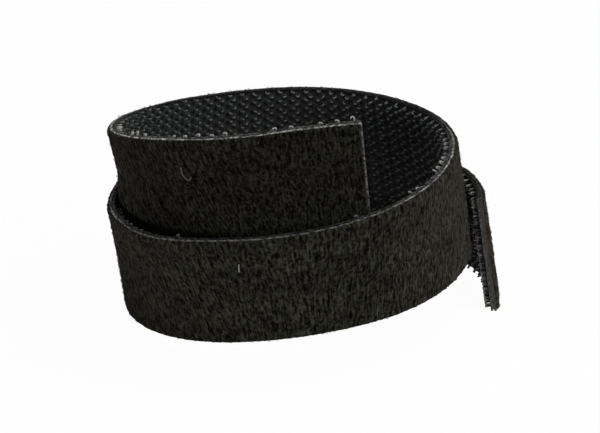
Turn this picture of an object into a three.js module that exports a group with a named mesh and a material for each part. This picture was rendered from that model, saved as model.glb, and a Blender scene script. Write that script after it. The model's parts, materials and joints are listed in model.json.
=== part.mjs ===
// A length of hook and loop tape, laminated back to back and left standing on edge in a loose coil.
// Millimetres, +Z up. The loops face out of the coil and the hooks face into it. The lead is the
// upper free end, the coil winds down from it to the surface, and the tail is the lower free end.

import * as THREE from 'three';

// Tape section, from the outer face of the coil to the inner one
const tapeWidth = 20;
const pileHeight = 0.65;
const loopWebThickness = 0.45;
const bondFilmThickness = 0.1;
const hookWebThickness = 0.29;
const hookRootThickness = 0.16;
const hookHeight = 0.9;
const selvedgeWidth = 0.5; // bare margin that both webs keep along each edge

// Hooks
const hookRows = 6;
const hookPitch = 6.4; // along one row
const hookStrokeWidth = 0.3; // thickness of the bent filament
const hookCrookRadius = 0.26; // radius of the bend, to the middle of the filament
const hookCurl = 150; // degrees that the filament turns
const hookCurlSteps = 2;
const hookSides = 3;
const hookEdgeMargin = 1.6;

// Plan of the winding, taken at the bond film
const coilRadius = 25.3;
const turnAirGap = 1.41; // air that each turn adds to the tape's own thickness
const ovalDepth = 0.9; // added by each turn, so the inner turn is rounder than the outer one
const ovalAzimuth = 81;
const cornerDepth = 0.7; // the coil has three soft corners
const cornerAzimuth = 42;
const leadAzimuth = -89; // where the straight lead runs into the curve
const woundTurns = 1.741;
const leadStraightLength = 13.4;
const tailStraightLength = 4.2;

// Rise of the lower edge above the surface
const leadHeight = 19.8;
const landingTurn = 1.24;
const landingHeight = 6; // height over which the descent flattens out
const tiltHeight = 3.3;
const tiltAzimuth = -40;
const waveHeight = 0.7; // the edge rises and falls twice in each turn
const waveAzimuth = 70;
const floorCutDepth = 0.3; // depth that the lower edge is cut flat where it stands

// Lean of the tape's width, outwards, and the drift of the raised turns
const leanEven = 2.5;
const leanSway = 15.5;
const leanAzimuth = -127;
const leanTwist = 1.8; // twice in each turn
const twistAzimuth = -70;
const driftRatio = 0.19;
const driftAzimuth = -141;

// Flexing ends
const leadReach = 29; // length of tape that bends with each free end
const tailReach = 28;
const splitGap = 0.3;

const slopeStep = 1e-3; // turns, for finite differences

const radians = THREE.MathUtils.degToRad;

// Depths of the layers' faces, outwards from the middle of the bond film
const filmFace = bondFilmThickness / 2;
const loopFace = filmFace + loopWebThickness;
const pileFace = loopFace + pileHeight;
const hookFace = filmFace + hookWebThickness;
const rootFace = hookFace + hookRootThickness;
const hookTips = rootFace + hookHeight;
const tapeThickness = pileFace + hookTips;
const turnGrowth = tapeThickness + turnAirGap;

// Winding

function azimuthAt(turn) {
  return radians(leadAzimuth) - 2 * Math.PI * turn;
}

// Goes between 1 and -1 so many times in a circle, and is 1 at the given azimuth
function wave(count, azimuth, crestAzimuth) {
  return Math.cos(count * (azimuth - radians(crestAzimuth)));
}

function spiral(turn) {
  const azimuth = azimuthAt(turn);
  const oval = ovalDepth * turn * wave(2, azimuth, ovalAzimuth);
  const corners = cornerDepth * wave(3, azimuth, cornerAzimuth);
  const radius = coilRadius + turnGrowth * turn + oval + corners;
  return new THREE.Vector2(radius * Math.cos(azimuth), radius * Math.sin(azimuth));
}

function spiralSlope(turn) {
  const ahead = spiral(turn + slopeStep);
  return ahead.sub(spiral(turn - slopeStep)).divideScalar(2 * slopeStep);
}

const leadSlope = spiralSlope(0);
const tailSlope = spiralSlope(woundTurns);
const firstTurn = -leadStraightLength / leadSlope.length();
const lastTurn = woundTurns + tailStraightLength / tailSlope.length();

// The spiral with a straight end at each side
function plan(turn) {
  const onSpiral = spiral(THREE.MathUtils.clamp(turn, 0, woundTurns));
  onSpiral.addScaledVector(leadSlope, Math.min(turn, 0));
  return onSpiral.addScaledVector(tailSlope, Math.max(turn - woundTurns, 0));
}

// Height of the lower edge: a steady descent on a slight tilt, easing on to the surface
function rise(turn) {
  const azimuth = azimuthAt(turn);
  const tilt = tiltHeight * wave(1, azimuth, tiltAzimuth) + waveHeight * wave(2, azimuth, waveAzimuth);
  const height = leadHeight * (1 - turn / landingTurn) + tilt;
  if (height > landingHeight) return height;
  return Math.max(height + landingHeight, 0) ** 2 / (4 * landingHeight);
}

function lowerEdge(turn) {
  const height = rise(turn);
  const flat = plan(turn);
  const drift = driftRatio * height;
  return new THREE.Vector3(
    flat.x + drift * Math.cos(radians(driftAzimuth)),
    flat.y + drift * Math.sin(radians(driftAzimuth)),
    height - floorCutDepth,
  );
}

// Outward lean of the width, in radians, for a stretch that faces the given azimuth
function lean(facing) {
  const sway = leanSway * wave(1, facing, leanAzimuth) + leanTwist * wave(2, facing, twistAzimuth);
  return radians(leanEven + sway);
}

// Middle of the film with the directions along the tape, up its width and out of the coil
function station(turn) {
  const along = lowerEdge(turn + slopeStep).sub(lowerEdge(turn - slopeStep)).normalize();
  const radial = new THREE.Vector3(-along.y, along.x, 0).normalize();
  const tilt = lean(Math.atan2(radial.y, radial.x));
  const up = radial.multiplyScalar(Math.sin(tilt));
  up.z = Math.cos(tilt);
  up.addScaledVector(along, -up.dot(along)).normalize();
  const middle = lowerEdge(turn);
  middle.z += (tapeWidth / 2) * Math.cos(tilt);
  return { middle, along, up, outward: up.clone().cross(along) };
}

// Four points across the width at a depth: edge, margin, margin, edge, cut flat at the surface
function widthLines({ middle, up, outward }, depth) {
  const face = middle.clone().addScaledVector(outward, depth);
  const bottom = face.clone().addScaledVector(up, -tapeWidth / 2);
  if (bottom.z < 0) bottom.addScaledVector(up, -bottom.z / up.z);
  const top = face.addScaledVector(up, tapeWidth / 2);
  const bottomMargin = bottom.clone().addScaledVector(up, selvedgeWidth);
  const topMargin = top.clone().addScaledVector(up, -selvedgeWidth);
  return [bottom, bottomMargin, topMargin, top];
}

// Sections of the tape

function turnsFor(length, turn) {
  return length / spiralSlope(turn).length();
}

const leadHinge = firstTurn + turnsFor(leadReach, 0);
const tailHinge = lastTurn - turnsFor(tailReach, woundTurns);
const halfSplit = turnsFor(splitGap / 2, woundTurns / 2);

const sections = [
  { name: 'lead', from: firstTurn, to: leadHinge - halfSplit },
  { name: 'coil', from: leadHinge + halfSplit, to: tailHinge - halfSplit },
  { name: 'tail', from: tailHinge + halfSplit, to: lastTurn },
];

// One station for each staggered row of hooks
function stationsOf({ from, to }) {
  const length = (to - from) * spiralSlope((from + to) / 2).length();
  const steps = Math.round(length / (hookPitch / 2));
  return Array.from({ length: steps + 1 }, (_, i) => station(from + ((to - from) * i) / steps));
}

// Closed strip between two depths, spanning the given width lines. Strips that touch share the
// corners and the diagonals of their faces, so laminated layers meet without a gap. The inner
// face can be left open, for hooks to be set into it.
function strip(stations, outerDepth, innerDepth, firstLine, lastLine, openInside = false) {
  const span = lastLine - firstLine + 1;
  const ring = 2 * span;
  const positions = [];
  for (const place of stations) {
    const outer = widthLines(place, outerDepth).slice(firstLine, lastLine + 1);
    const inner = widthLines(place, innerDepth).slice(firstLine, lastLine + 1).reverse();
    for (const point of [...outer, ...inner]) positions.push(point.x, point.y, point.z);
  }
  const index = [];
  for (let i = 0; i + 1 < stations.length; i++) {
    for (let j = 0; j < ring; j++) {
      const a = i * ring + j;
      const b = i * ring + ((j + 1) % ring);
      const [c, d] = [b + ring, a + ring];
      const inside = j >= span && j < ring - 1;
      if (inside && openInside) continue;
      if (inside) index.push(a, b, d, b, c, d);
      else index.push(a, b, c, a, c, d);
    }
  }
  const end = (stations.length - 1) * ring;
  for (let k = 0; k + 1 < span; k++) {
    const quad = [k, k + 1, ring - 2 - k, ring - 1 - k];
    const [o, p, q, r] = quad;
    index.push(o, q, p, o, r, q);
    const [e, f, g, h] = quad.map((corner) => corner + end);
    index.push(e, f, g, e, g, h);
  }
  return { positions, index, ring };
}

// Hooks

// Path of one hook in its own plane: along the tape and up from the backing
function hookPath() {
  const crookCentre = hookHeight - hookStrokeWidth / 2 - hookCrookRadius;
  const path = [new THREE.Vector2(0, 0), new THREE.Vector2(0, crookCentre)];
  for (let i = 1; i <= hookCurlSteps; i++) {
    const turned = radians((hookCurl * i) / hookCurlSteps);
    const forward = hookCrookRadius * (1 - Math.cos(turned));
    path.push(new THREE.Vector2(forward, crookCentre + hookCrookRadius * Math.sin(turned)));
  }
  return path;
}

// Adds a bent filament, open at its foot, that points along the tape or back
function addHook({ positions, index }, foot, { along, outward }, heading) {
  const forward = along.clone().multiplyScalar(heading);
  const inward = outward.clone().negate();
  const path = hookPath();
  const first = positions.length / 3;
  path.forEach((point, i) => {
    const before = path[Math.max(i - 1, 0)];
    const after = path[Math.min(i + 1, path.length - 1)];
    const run = i === 0 ? new THREE.Vector2(0, 1) : after.clone().sub(before).normalize();
    const centre = foot.clone().addScaledVector(forward, point.x).addScaledVector(inward, point.y);
    const tangent = forward.clone().multiplyScalar(run.x).addScaledVector(inward, run.y);
    const inPlane = forward.clone().multiplyScalar(run.y).addScaledVector(inward, -run.x);
    const sideways = tangent.cross(inPlane);
    for (let side = 0; side < hookSides; side++) {
      const angle = (2 * Math.PI * side) / hookSides;
      const corner = centre.clone();
      corner.addScaledVector(inPlane, (hookStrokeWidth / 2) * Math.cos(angle));
      corner.addScaledVector(sideways, (hookStrokeWidth / 2) * Math.sin(angle));
      positions.push(corner.x, corner.y, corner.z);
    }
  });
  for (let i = 0; i + 1 < path.length; i++) {
    for (let side = 0; side < hookSides; side++) {
      const a = first + i * hookSides + side;
      const b = first + i * hookSides + ((side + 1) % hookSides);
      index.push(a, b, b + hookSides, a, b + hookSides, a + hookSides);
    }
  }
  const tip = first + (path.length - 1) * hookSides;
  for (let side = 1; side + 1 < hookSides; side++) index.push(tip, tip + side, tip + side + 1);
  return Array.from({ length: hookSides }, (_, side) => first + side);
}

// Where a row of hooks meets one facet pair of the backing: the facets part along the diagonal
// from the near lower corner to the far upper one, and each hook stands clear of that line
function hookSeat(row) {
  const inset = (hookEdgeMargin - selvedgeWidth) / (tapeWidth - 2 * selvedgeWidth);
  const up = inset + ((1 - 2 * inset) * row) / (hookRows - 1);
  const below = up < 1 / 2;
  return { up, along: below ? (1 + up) / 2 : up / 2, below };
}

// Strip of backing with hooks standing on its inner face. Every second row across the width
// has a hook at each station, the rows between have theirs half a pitch on and face the other way.
function hookedRoot(stations) {
  const root = strip(stations, -hookFace, -rootFace, 1, 2, true);
  const pointAt = (i) => new THREE.Vector3().fromArray(root.positions, 3 * i);
  let count = 0;
  for (let i = 0; i + 1 < stations.length; i++) {
    const [highNear, lowNear] = [i * root.ring + 2, i * root.ring + 3];
    const [highFar, lowFar] = [highNear + root.ring, lowNear + root.ring];
    const place = stations[i];
    const flat = (index) => {
      const offset = pointAt(index).sub(pointAt(lowNear));
      return new THREE.Vector2(offset.dot(place.along), offset.dot(place.up));
    };
    const lower = {
      contour: [lowNear, lowFar, highFar],
      edgeAlong: pointAt(lowFar).sub(pointAt(lowNear)),
      edgeUp: pointAt(highFar).sub(pointAt(lowFar)),
      feet: [],
    };
    const upper = {
      contour: [highNear, lowNear, highFar],
      edgeAlong: pointAt(highFar).sub(pointAt(highNear)),
      edgeUp: pointAt(highNear).sub(pointAt(lowNear)),
      feet: [],
    };
    for (let row = i % 2; row < hookRows; row += 2) {
      const seat = hookSeat(row);
      const facet = seat.below ? lower : upper;
      const foot = pointAt(lowNear);
      foot.addScaledVector(facet.edgeAlong, seat.along).addScaledVector(facet.edgeUp, seat.up);
      facet.feet.push(addHook(root, foot, place, row % 2 === 0 ? 1 : -1).reverse());
      count += 1;
    }
    for (const { contour, feet } of [lower, upper]) {
      const corners = [contour, ...feet].flat();
      const holes = feet.map((foot) => foot.map(flat));
      const faces = THREE.ShapeUtils.triangulateShape(contour.map(flat), holes);
      root.index.push(...faces.flat().map((corner) => corners[corner]));
    }
  }
  return { ...root, count };
}

function geometryOf({ positions, index }) {
  const geometry = new THREE.BufferGeometry();
  geometry.setAttribute('position', new THREE.Float32BufferAttribute(positions, 3));
  geometry.setIndex(index);
  geometry.computeVertexNormals();
  return geometry;
}

// Materials

const finishes = {
  loop_pile: { color: 0x1f1e20, roughness: 1 },
  loop_web: { color: 0x3a393b, roughness: 0.9 },
  bond_film: { color: 0x26262a, roughness: 0.6 },
  hook_web: { color: 0x29292c, roughness: 0.8 },
  hooks: { color: 0x3c3e42, roughness: 0.35 },
};

function finish(layer) {
  return new THREE.MeshStandardMaterial({ ...finishes[layer], metalness: 0 });
}

// Assembly

let hookCount = 0;

function buildSection(section) {
  const stations = stationsOf(section);
  const hooks = hookedRoot(stations);
  hookCount += hooks.count;
  const layers = {
    loop_pile: strip(stations, pileFace, loopFace, 1, 2),
    loop_web: strip(stations, loopFace, filmFace, 0, 3),
    bond_film: strip(stations, filmFace, -filmFace, 1, 2),
    hook_web: strip(stations, -filmFace, -hookFace, 0, 3),
    hooks,
  };
  const group = new THREE.Group();
  for (const [layer, surface] of Object.entries(layers)) {
    const mesh = new THREE.Mesh(geometryOf(surface), finish(layer));
    mesh.name = `${section.name}_${layer}`;
    group.add(mesh);
  }
  return group;
}

const tape = new THREE.Group();
for (const section of sections) tape.add(buildSection(section));

// The origin stands under the middle of the coil's box
const box = new THREE.Box3().setFromObject(tape);
const middle = box.getCenter(new THREE.Vector3());
tape.position.set(-middle.x, -middle.y, -box.min.z);
tape.updateMatrixWorld(true);

// Measures

const gapStep = 0.005; // turns between the sections that are measured
const gapReach = 0.06; // turns searched on either side of the section one turn on
const gapPoints = 9; // across the width

// Least gap between the pile of one turn and the hook tips of the next, on points of the pile
function leastTurnGap() {
  let least = Infinity;
  for (let turn = firstTurn; turn + 1 + gapReach <= lastTurn; turn += gapStep) {
    const [bottom, , , top] = widthLines(station(turn), pileFace);
    for (let other = turn + 1 - gapReach; other <= turn + 1 + gapReach; other += gapStep) {
      const facing = station(other);
      const halfStep = (gapStep / 2) * spiralSlope(other).length();
      for (let i = 0; i < gapPoints; i++) {
        const offset = bottom.clone().lerp(top, i / (gapPoints - 1)).sub(facing.middle);
        const level = Math.abs(offset.dot(facing.up)) < tapeWidth / 2;
        const abreast = Math.abs(offset.dot(facing.along)) <= halfStep;
        if (level && abreast) least = Math.min(least, -offset.dot(facing.outward) - hookTips);
      }
    }
  }
  return least;
}

function tapeLength() {
  let length = 0;
  for (let turn = firstTurn; turn < lastTurn; turn += gapStep) {
    const end = Math.min(turn + gapStep, lastTurn);
    length += station(turn).middle.distanceTo(station(end).middle);
  }
  return length;
}

function hingeReport(name, turn, depth) {
  const place = station(turn);
  const pivot = place.middle.addScaledVector(place.outward, depth);
  const at = tape.localToWorld(pivot).toArray().map((value) => value.toFixed(4));
  const axis = place.up.toArray().map((value) => value.toFixed(5));
  console.log(`${name}: pivot ${at.join(', ')} axis ${axis.join(', ')}`);
}

const size = box.getSize(new THREE.Vector3());
console.log('size', size.toArray().map((value) => value.toFixed(3)).join(' x '));
console.log('hooks', hookCount, 'length', tapeLength().toFixed(1));
console.log('least gap between turns', leastTurnGap().toFixed(3));
hingeReport('lead hinge', leadHinge, -rootFace);
hingeReport('tail hinge', tailHinge, pileFace);

export default tape;
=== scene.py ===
# %% [markdown]
# # A loose coil of hook and loop tape
# The object is one strip of black tape, laid back to back: soft loops on one face and stiff hooks
# on the other. It stands on edge in a little under two turns. This lesson dresses the packed solid
# model with the finished tape: woven grounds, napped pile, thousands of bent hooks and two bits of
# lint. Every piece is made in the tape's own coordinates and then wound into place, because a
# strip is easy to describe flat and hard to describe coiled.

# %% Load the frame
import json
import math

import bpy
import numpy as np
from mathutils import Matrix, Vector

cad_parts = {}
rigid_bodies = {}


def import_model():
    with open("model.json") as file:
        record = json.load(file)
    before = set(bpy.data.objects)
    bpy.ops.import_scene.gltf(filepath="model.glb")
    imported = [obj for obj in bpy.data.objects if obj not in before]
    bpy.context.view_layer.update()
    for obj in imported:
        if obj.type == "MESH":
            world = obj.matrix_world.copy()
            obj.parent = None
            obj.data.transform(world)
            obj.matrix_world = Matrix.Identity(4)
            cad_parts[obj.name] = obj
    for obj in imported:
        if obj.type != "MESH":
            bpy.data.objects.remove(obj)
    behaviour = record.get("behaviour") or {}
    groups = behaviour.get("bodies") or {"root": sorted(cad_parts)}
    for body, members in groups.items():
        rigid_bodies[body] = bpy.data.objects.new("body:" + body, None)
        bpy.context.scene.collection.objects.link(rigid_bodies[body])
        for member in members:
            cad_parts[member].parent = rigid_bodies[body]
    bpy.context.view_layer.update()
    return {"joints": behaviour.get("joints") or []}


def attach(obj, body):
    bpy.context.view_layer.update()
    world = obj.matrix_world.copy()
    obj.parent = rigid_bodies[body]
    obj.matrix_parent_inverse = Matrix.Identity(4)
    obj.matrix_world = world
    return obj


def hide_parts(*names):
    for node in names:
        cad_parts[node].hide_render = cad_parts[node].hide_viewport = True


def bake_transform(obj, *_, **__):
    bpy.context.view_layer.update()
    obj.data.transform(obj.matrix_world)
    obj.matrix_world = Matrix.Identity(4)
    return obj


for leftover in list(bpy.data.objects):
    bpy.data.objects.remove(leftover)
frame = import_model()
MM = 0.001

# %% [markdown]
# The section of the tape is a stack of layers. Depth is counted from the middle of the bond film:
# positive out of the coil towards the loops, negative into the coil towards the hooks. Each face
# is the face below it and the thickness of its own layer, so a thicker pile moves nothing else.

# %% Section of the tape, in millimetres
TAPE_WIDTH = 20.0
HALF_WIDTH = TAPE_WIDTH / 2
FILM_FACE = 0.05
LOOP_FACE = FILM_FACE + 0.45
PILE_FACE = LOOP_FACE + 0.65
HOOK_FACE = FILM_FACE + 0.29
ROOT_FACE = HOOK_FACE + 0.16
HOOK_TIPS = ROOT_FACE + 0.9
print("thickness mm", round(PILE_FACE + HOOK_TIPS, 2))

# %% [markdown]
# The winding repeats the formula of the solid model: a spiral with a straight end on each side,
# that grows oval, has three soft corners, descends from the lead and settles on the surface. It
# could be a Blender curve with a bevel, but a bevel can't follow the lean of the tape, so each
# place gets its own three directions instead: along the tape, up its width and out of the coil.

# %% Plan and height of the winding, in millimetres, degrees and turns
COIL_RADIUS = 25.3
TURN_ROOM = 1.41
TURN_GROWTH = PILE_FACE + HOOK_TIPS + TURN_ROOM
OVAL_DEPTH, OVAL_AZIMUTH = 0.9, 81
CORNER_DEPTH, CORNER_AZIMUTH = 0.7, 42
LEAD_AZIMUTH = -89
WOUND_TURNS = 1.741
LEAD_STRAIGHT, TAIL_STRAIGHT = 13.4, 4.2
LEAD_HEIGHT, LANDING_TURN, LANDING_HEIGHT = 19.8, 1.24, 6.0
TILT_HEIGHT, TILT_AZIMUTH = 3.3, -40
WAVE_HEIGHT, WAVE_AZIMUTH = 0.7, 70
DRIFT_PER_RISE, DRIFT_AZIMUTH = 0.19, -141  # how far the coil strays sideways for each mm of height
FLOOR_CUT = 0.3  # mm by which the solid is cut flat where it stands
SLOPE_STEP = 1e-3


def azimuth_at(turn):
    return math.radians(LEAD_AZIMUTH) - 2 * math.pi * turn


def wave(count, azimuth, crest):
    """Goes between 1 and -1 so many times in a circle, and is 1 at the crest, in degrees."""
    return np.cos(count * (azimuth - math.radians(crest)))


def spiral(turn):
    azimuth = azimuth_at(turn)
    oval = OVAL_DEPTH * turn * wave(2, azimuth, OVAL_AZIMUTH)
    radius = COIL_RADIUS + TURN_GROWTH * turn + oval + CORNER_DEPTH * wave(3, azimuth, CORNER_AZIMUTH)
    return np.stack([radius * np.cos(azimuth), radius * np.sin(azimuth)], axis=-1)


def slope(line, turn):
    return (line(turn + SLOPE_STEP) - line(turn - SLOPE_STEP)) / (2 * SLOPE_STEP)


LEAD_SLOPE, TAIL_SLOPE = slope(spiral, np.float64(0)), slope(spiral, np.float64(WOUND_TURNS))
FIRST_TURN = -LEAD_STRAIGHT / np.linalg.norm(LEAD_SLOPE)
LAST_TURN = WOUND_TURNS + TAIL_STRAIGHT / np.linalg.norm(TAIL_SLOPE)


def lower_edge(turn):
    """Plan of the middle of the tape, with the height of its lower edge."""
    flat = spiral(np.clip(turn, 0, WOUND_TURNS))
    flat = flat + LEAD_SLOPE * np.minimum(turn, 0)[..., None]
    flat = flat + TAIL_SLOPE * np.maximum(turn - WOUND_TURNS, 0)[..., None]
    azimuth = azimuth_at(turn)
    tilt = TILT_HEIGHT * wave(1, azimuth, TILT_AZIMUTH) + WAVE_HEIGHT * wave(2, azimuth, WAVE_AZIMUTH)
    height = LEAD_HEIGHT * (1 - turn / LANDING_TURN) + tilt
    eased = np.maximum(height + LANDING_HEIGHT, 0) ** 2 / (4 * LANDING_HEIGHT)
    height = np.where(height > LANDING_HEIGHT, height, eased)
    drift = math.radians(DRIFT_AZIMUTH)
    flat = flat + DRIFT_PER_RISE * height[..., None] * np.array([math.cos(drift), math.sin(drift)])
    return np.concatenate([flat, height[..., None] - FLOOR_CUT], axis=-1)


print("turns", round(float(FIRST_TURN), 3), "to", round(float(LAST_TURN), 3))

# %% [markdown]
# The tape doesn't stand quite upright: it leans out at the front left and in at the back right.
# On the left of the real coil the hooks of the outer turn have caught the pile of the inner one,
# so its rim is drawn in there, and bulges just before. Solids may not overlap, so the solid model
# keeps its turns apart and only the dressed tape shows this. A lattice deform could pull the rim
# in after the fact, but a little more lean about the lower edge says the same in the formula.

# %% Directions at each place
LEAN_EVEN = 2.5
LEAN_SWAY, LEAN_AZIMUTH = 15.5, -127
LEAN_TWIST, TWIST_AZIMUTH = 1.8, -70
CAUGHT_LEAN, CAUGHT_TURN, CAUGHT_SPREAD = -3.9, 1.275, 0.06  # degrees, and turns of the winding
BULGE_LEAN, BULGE_TURN, BULGE_SPREAD = 2.7, 1.117, 0.048
LISTED_PLACES = 4001


def unit(vectors):
    return vectors / np.linalg.norm(vectors, axis=-1, keepdims=True)


def swell(turn, middle, spread):
    """1 at one turn of the winding, fading to 0 on both sides."""
    return np.exp(-((turn - middle) / spread) ** 2)


def station(turn):
    """Middle of the film, with the directions along the tape, up its width and out of the coil."""
    along = unit(slope(lower_edge, turn))
    radial = unit(np.stack([-along[..., 1], along[..., 0], 0 * turn], axis=-1))
    facing = np.arctan2(radial[..., 1], radial[..., 0])
    sway = LEAN_SWAY * wave(1, facing, LEAN_AZIMUTH) + LEAN_TWIST * wave(2, facing, TWIST_AZIMUTH)
    free = np.radians(LEAN_EVEN + sway)
    caught = CAUGHT_LEAN * swell(turn, CAUGHT_TURN, CAUGHT_SPREAD)
    bulge = BULGE_LEAN * swell(turn, BULGE_TURN, BULGE_SPREAD)
    lean = free + np.radians(caught + bulge)
    up = radial * np.sin(lean)[..., None]
    up[..., 2] = np.cos(lean)
    up = unit(up - along * (up * along).sum(axis=-1, keepdims=True))
    drawn = HALF_WIDTH * (np.sin(lean) - np.sin(free))
    middle = lower_edge(turn) + radial * drawn[..., None]
    middle[..., 2] += HALF_WIDTH * np.cos(lean)
    return middle, along, up, np.cross(up, along)


LISTED_TURNS = np.linspace(FIRST_TURN, LAST_TURN, LISTED_PLACES)
listed_steps = np.linalg.norm(np.diff(station(LISTED_TURNS)[0], axis=0), axis=1)
LISTED_LENGTHS = np.concatenate([[0], np.cumsum(listed_steps)])
TAPE_LENGTH = float(LISTED_LENGTHS[-1])
print("tape length mm", round(TAPE_LENGTH, 1))

# %% [markdown]
# The solid model was moved so that its origin lies under the middle of its box. The hinge of the
# lead is a point that both descriptions know, so the difference between its two places is the
# shift. From here on, one function turns places on the flat tape into points of the frame.

# %% From the flat tape to the frame
LEAD_REACH, TAIL_REACH = 29.0, 28.0  # mm from each cut end to its hinge
PRESSED = 3.0  # mm up from the lower edge that give way where the tape stands on the surface

JOINTS = {joint["name"]: joint for joint in frame["joints"]}
lead_hinge_turn = FIRST_TURN + LEAD_REACH / np.linalg.norm(LEAD_SLOPE)
hinge_middle, _, _, hinge_outward = station(lead_hinge_turn)
FRAME_SHIFT = np.array(JOINTS["lead_flex"]["pos_m"]) - MM * (hinge_middle - ROOT_FACE * hinge_outward)


def station_at(length):
    return station(np.interp(length, LISTED_LENGTHS, LISTED_TURNS))


def on_tape(along, across, depth):
    """Points of the frame for places in mm from the lead's cut, up from mid-width, and out of the film."""
    along, across, depth = np.broadcast_arrays(*(np.asarray(v, float) for v in (along, across, depth)))
    inside = np.clip(along, 0, TAPE_LENGTH)
    middle, forward, up, outward = station_at(inside)
    face = middle + outward * depth[..., None] + forward * (along - inside)[..., None]
    sunk = np.maximum(HALF_WIDTH * up[..., 2] - face[..., 2], 0) / up[..., 2]
    give = sunk * np.clip(1 - (across + HALF_WIDTH) / PRESSED, 0, 1)
    points = face + up * (across + give)[..., None]
    points[..., 2] = np.maximum(points[..., 2], 0)
    return points * MM + FRAME_SHIFT


print("shift mm", np.round(FRAME_SHIFT / MM, 3))

# %% [markdown]
# The camera comes early, so that every later piece can be looked at in the photograph's own
# view. The view is from 20 degrees above the surface with a long lens: far away and narrow, as
# in a catalogue picture, so parallel edges stay nearly parallel.

# %% Camera
CAMERA_RISE = math.radians(20)
CAMERA_DISTANCE = 800.0
VIEW_TARGET = np.array([-0.14, 0.0, 16.07 - FLOOR_CUT])
FOCAL_PIXELS, IMAGE_WIDTH = 4895, 600

target = Vector(VIEW_TARGET * MM + FRAME_SHIFT)
back = Vector((0, -math.cos(CAMERA_RISE), math.sin(CAMERA_RISE)))
lens = bpy.data.cameras.new("studio_camera")
camera = bpy.data.objects.new("studio_camera", lens)
bpy.context.scene.collection.objects.link(camera)
camera.location = target + back * CAMERA_DISTANCE * MM
camera.rotation_mode = "QUATERNION"
camera.rotation_quaternion = (-back).to_track_quat("-Z", "Y")
lens.sensor_width = 36
lens.lens = FOCAL_PIXELS / IMAGE_WIDTH * lens.sensor_width
lens.clip_start, lens.clip_end = 0.01, 20
bpy.context.scene.camera = camera
print("lens mm", round(lens.lens, 1))

# %% [markdown]
# Shader maths reads best as plain arithmetic. This small class wraps one output socket, so that
# `1 - mask` or `streak * 0.5` adds the Math node it stands for. Every other node comes from its
# one method `node`, which sets the node up before it fills the sockets.

# %% Sockets as values
class Wire:
    def __init__(self, tree, socket=None):
        self.tree, self.socket = tree, socket

    def node(self, kind, settings=None, sockets=None, output=0):
        made = self.tree.nodes.new(kind)
        for name, value in (settings or {}).items():
            setattr(made, name, value)
        for name, value in (sockets or {}).items():
            if isinstance(value, Wire):
                self.tree.links.new(value.socket, made.inputs[name])
            else:
                made.inputs[name].default_value = value
        return Wire(self.tree, made.outputs[output])

    def math(self, operation, *values):
        return self.node("ShaderNodeMath", {"operation": operation}, dict(enumerate(values)))

    def __add__(self, other):
        return self.math("ADD", self, other)

    def __sub__(self, other):
        return self.math("SUBTRACT", self, other)

    def __rsub__(self, other):
        return self.math("SUBTRACT", other, self)

    def __mul__(self, other):
        return self.math("MULTIPLY", self, other)

    def __pow__(self, other):
        return self.math("POWER", self, other)

    __radd__, __rmul__ = __add__, __mul__

    def above(self, least):
        """This value, which goes from 0 to 1, raised to go from the least to 1."""
        return least + (1 - least) * self

    def ramp(self, low, high):
        """0 where this value is at low, 1 where it is at high, eased between."""
        settings = {"interpolation_type": "SMOOTHSTEP"}
        return self.node("ShaderNodeMapRange", settings, {0: self, 1: low, 2: high})

    def mix(self, first, second):
        """The first colour where this value is 0, the second where it is 1."""
        return self.node("ShaderNodeMix", {"data_type": "RGBA"}, {0: self, 6: first, 7: second}, output=2)


print("a wire can", [name.strip("_") for name, member in vars(Wire).items() if callable(member)])

# %% [markdown]
# A finish is a Principled shader whose changing inputs come from nodes and whose fixed inputs
# are set on their own sockets. Patterns are read from an attribute named `tape`, which holds the
# flat place of each vertex in millimetres, so a streak runs up the tape's width all the way
# round the coil. Generated coordinates would be less work, but they don't know about the winding.

# %% Helpers for finishes
def finish(name, fixed):
    """A new material, a blank wire into its nodes and its Principled shader."""
    material = bpy.data.materials.new(name)
    material.use_nodes = True
    shader = material.node_tree.nodes["Principled BSDF"]
    for socket, value in fixed.items():
        shader.inputs[socket].default_value = value
    return material, Wire(material.node_tree), shader


def colour(red, green, blue):
    return (red, green, blue, 1.0)


def plug(wire, shader, socket):
    wire.tree.links.new(wire.socket, shader.inputs[socket])


def marked(blank, name):
    return blank.node("ShaderNodeAttribute", {"attribute_name": name}, output="Fac")


def tape_place(blank):
    return blank.node("ShaderNodeAttribute", {"attribute_name": "tape"}, output="Vector")


def coordinate(place, axis):
    """One number of a place on the flat tape: X is along it, Y is up its width."""
    return place.node("ShaderNodeSeparateXYZ", {}, {0: place}, output=axis)


def grain(place, cells, detail, fade=None):
    """Noise with grains of so many mm along, up and through the tape, eased between two levels."""
    scale = {0: place, 1: tuple(1 / cell for cell in cells)}
    stretched = place.node("ShaderNodeVectorMath", {"operation": "MULTIPLY"}, scale)
    sockets = {"Vector": stretched, "Scale": 1.0, "Detail": detail}
    noise = place.node("ShaderNodeTexNoise", {}, sockets, output="Fac")
    return noise.ramp(*fade) if fade else noise


def relief(height, shader, depth):
    """Bump from a height that goes from 0 to 1, worth so many mm."""
    sockets = {"Height": height, "Distance": depth * MM, "Strength": 1.0}
    plug(height.node("ShaderNodeBump", {}, sockets), shader, "Normal")


print("finishes so far", len(bpy.data.materials))

# %% [markdown]
# At the tail's cut the yarns of every layer have come a little loose and show paler than the
# tape. They could be modelled one by one, but at this size a broken change of colour over the
# last part of a millimetre is all that shows, so each layer's finish ends in it.

# %% Frayed end
FRAYED = 0.8  # mm at the tail's cut over which the yarn turns bare
TUFTS = dict(cells=(0.4, 0.45, 0.3), detail=3.0, fade=(0.36, 0.62))
LEAST_FRAYED = 0.25


def frayed(place, colours, yarn):
    """The layer's own colours, with bare yarn over the last of the tail."""
    loose = coordinate(place, "X").ramp(TAPE_LENGTH - FRAYED, TAPE_LENGTH)
    return (loose * grain(place, **TUFTS).above(LEAST_FRAYED)).mix(colours, yarn)


print("frays from", round(TAPE_LENGTH - FRAYED, 1), "mm")

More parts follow.
